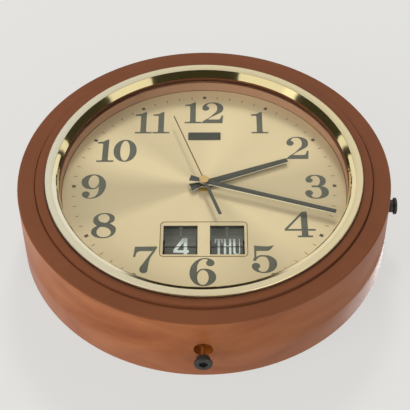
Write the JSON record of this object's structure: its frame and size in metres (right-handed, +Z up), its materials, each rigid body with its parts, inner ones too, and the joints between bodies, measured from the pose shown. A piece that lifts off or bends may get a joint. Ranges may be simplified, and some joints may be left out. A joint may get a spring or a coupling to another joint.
{
  "type": "wall clock with flip calendar",
  "caption": "Round wall clock in a deep plastic case with a pale gold trim ring, sweep seconds, a flip date and weekday calendar, and two setting knobs on the rim.",
  "frame": {"origin": "centre of the round hole of the hanger's keyhole, in the wall plane", "axes": "+Z up towards twelve o'clock, the dial faces -Y, +X towards three o'clock, the wall is the plane y = 0"},
  "size_m": [0.331, 0.0724, 0.3383],
  "materials": {
    "case_plastic": "satin moulded",
    "bezel_plastic": "satin moulded",
    "trim_metal": "polished pale gold",
    "glass": "clear",
    "seal_rubber": "matte",
    "surround_plastic": "satin",
    "dial_metal": "radially brushed champagne",
    "steel": "plated",
    "dark_paint": "satin",
    "brass_part": "turned",
    "second_wire": "lacquered",
    "cap_metal": "satin copper gold",
    "grey_plastic": "moulded",
    "clear_plastic": "clear styrene",
    "knob_plastic": "moulded",
    "leaf_plastic": "satin",
    "coil_copper": "enamelled wire",
    "board": "laminate",
    "lead_insulation": "insulated",
    "tray_plastic": "moulded",
    "cell_jacket": "printed jacket",
    "cover_plastic": "moulded grain"
  },
  "bodies": {
    "root": {"case_body": "case_plastic", "bezel_ring": "bezel_plastic", "bezel_screws": "steel", "trim_ring": "trim_metal", "lens": "glass", "lens_gasket": "seal_rubber", "dial_surround": "surround_plastic", "dial_plate": "dial_metal", "calendar_bezel": "dial_metal", "carrier_plate": "steel", "dial_screws": "steel", "badge_plate": "dark_paint", "centre_bush": "brass_part", "centre_nut": "brass_part", "drive_coil": "coil_copper", "circuit_board": "board", "battery_leads": "lead_insulation", "front_plate": "brass_part", "back_plate": "brass_part", "pillars": "steel", "movement_screws": "steel", "dust_cover": "clear_plastic", "time_shaft_bracket": "steel", "calendar_shaft_bracket": "steel", "calendar_frame": "grey_plastic", "bracket_screws": "steel", "drum_arbor": "steel", "date_leaf_pack": "leaf_plastic", "day_leaf_pack": "leaf_plastic", "leaf_fingers": "steel", "battery_tray": "tray_plastic", "battery_contacts": "steel", "dry_cell": "cell_jacket", "rear_cover": "cover_plastic", "rear_screws": "steel", "hanger_plate": "steel"},
    "second": {"second_hand": "second_wire", "second_weight": "dark_paint", "second_cap": "cap_metal", "seconds_arbor": "brass_part"},
    "minute": {"minute_hand": "dark_paint", "centre_wheel": "brass_part"},
    "hour": {"hour_hand": "dark_paint", "hour_wheel": "brass_part"},
    "third": {"third_wheel": "brass_part"},
    "escape": {"escape_wheel": "brass_part"},
    "motion": {"minute_wheel": "brass_part"},
    "setting": {"setting_wheel": "brass_part"},
    "balance": {"balance_wheel": "brass_part"},
    "time_setter": {"time_shaft": "steel", "time_knob": "knob_plastic"},
    "calendar_setter": {"calendar_shaft": "steel", "calendar_knob": "knob_plastic"},
    "date_drive": {"date_drive_wheel": "brass_part"},
    "day_drive": {"day_drive_wheel": "brass_part"},
    "date_roll": {"date_drum": "grey_plastic"},
    "day_roll": {"day_drum": "grey_plastic"},
    "date_flap": {"date_leaf": "leaf_plastic"},
    "day_flap": {"day_leaf": "leaf_plastic"},
    "door": {"battery_door": "cover_plastic"}
  },
  "joints": [
    {"name": "second_hand_spin", "type": "hinge", "parent": "root", "child": "second", "pos_m": [0, -0.0503, -0.128], "axis": [0, 1, 0], "continuous": true},
    {"name": "minute_hand_spin", "type": "hinge", "parent": "root", "child": "minute", "pos_m": [0, -0.0503, -0.128], "axis": [0, 1, 0], "continuous": true},
    {"name": "hour_hand_spin", "type": "hinge", "parent": "root", "child": "hour", "pos_m": [0, -0.0503, -0.128], "axis": [0, 1, 0], "continuous": true},
    {"name": "third_wheel_spin", "type": "hinge", "parent": "root", "child": "third", "pos_m": [-0.01403, -0.022, -0.1199], "axis": [0, 1, 0], "continuous": true},
    {"name": "escape_wheel_spin", "type": "hinge", "parent": "root", "child": "escape", "pos_m": [0.01372, -0.022, -0.12008], "axis": [0, 1, 0], "continuous": true},
    {"name": "minute_wheel_spin", "type": "hinge", "parent": "root", "child": "motion", "pos_m": [0.012, -0.0445, -0.128], "axis": [0, 1, 0], "continuous": true},
    {"name": "setting_wheel_spin", "type": "hinge", "parent": "root", "child": "setting", "pos_m": [0.02107, -0.0445, -0.138], "axis": [0, 1, 0], "continuous": true},
    {"name": "time_knob_spin", "type": "hinge", "parent": "root", "child": "time_setter", "pos_m": [0.1, -0.0348, -0.138], "axis": [1, 0, 0], "continuous": true},
    {"name": "balance_swing", "type": "hinge", "parent": "root", "child": "balance", "pos_m": [0, -0.022, -0.0965], "axis": [0, 1, 0], "range_deg": [-120, 120], "stiffness_Nm_per_rad": 0.00002},
    {"name": "calendar_knob_spin", "type": "hinge", "parent": "root", "child": "calendar_setter", "pos_m": [0, -0.0348, -0.248], "axis": [0, 0, 1], "continuous": true},
    {"name": "date_drive_spin", "type": "hinge", "parent": "root", "child": "date_drive", "pos_m": [-0.004, -0.0348, -0.1887], "axis": [1, 0, 0], "continuous": true},
    {"name": "day_drive_spin", "type": "hinge", "parent": "root", "child": "day_drive", "pos_m": [0.004, -0.0348, -0.1887], "axis": [1, 0, 0], "continuous": true},
    {"name": "date_drum_spin", "type": "hinge", "parent": "root", "child": "date_roll", "pos_m": [-0.0197, -0.0348, -0.1887], "axis": [1, 0, 0], "continuous": true},
    {"name": "day_drum_spin", "type": "hinge", "parent": "root", "child": "day_roll", "pos_m": [0.0197, -0.0348, -0.1887], "axis": [1, 0, 0], "continuous": true},
    {"name": "date_leaf_fall", "type": "hinge", "parent": "root", "child": "date_flap", "pos_m": [-0.0197, -0.0398, -0.1887], "axis": [1, 0, 0], "range_deg": [0, 178]},
    {"name": "day_leaf_fall", "type": "hinge", "parent": "root", "child": "day_flap", "pos_m": [0.0197, -0.0398, -0.1887], "axis": [1, 0, 0], "range_deg": [0, 178]},
    {"name": "battery_door_pull", "type": "slide", "parent": "root", "child": "door", "axis": [0, 1, 0], "range_m": [0, 0.03]}
  ],
  "couplings": [
    {"joint": "minute_hand_spin", "follows": "second_hand_spin", "ratio": 0.016667},
    {"joint": "hour_hand_spin", "follows": "second_hand_spin", "ratio": 0.0013889},
    {"joint": "third_wheel_spin", "follows": "second_hand_spin", "ratio": -0.13333},
    {"joint": "escape_wheel_spin", "follows": "second_hand_spin", "ratio": -10},
    {"joint": "minute_wheel_spin", "follows": "second_hand_spin", "ratio": -0.0055556},
    {"joint": "setting_wheel_spin", "follows": "second_hand_spin", "ratio": 0.011111},
    {"joint": "time_knob_spin", "follows": "second_hand_spin", "ratio": 0.022222},
    {"joint": "date_drive_spin", "follows": "calendar_knob_spin", "ratio": -0.5},
    {"joint": "day_drive_spin", "follows": "calendar_knob_spin", "ratio": 0.5}
  ]
}
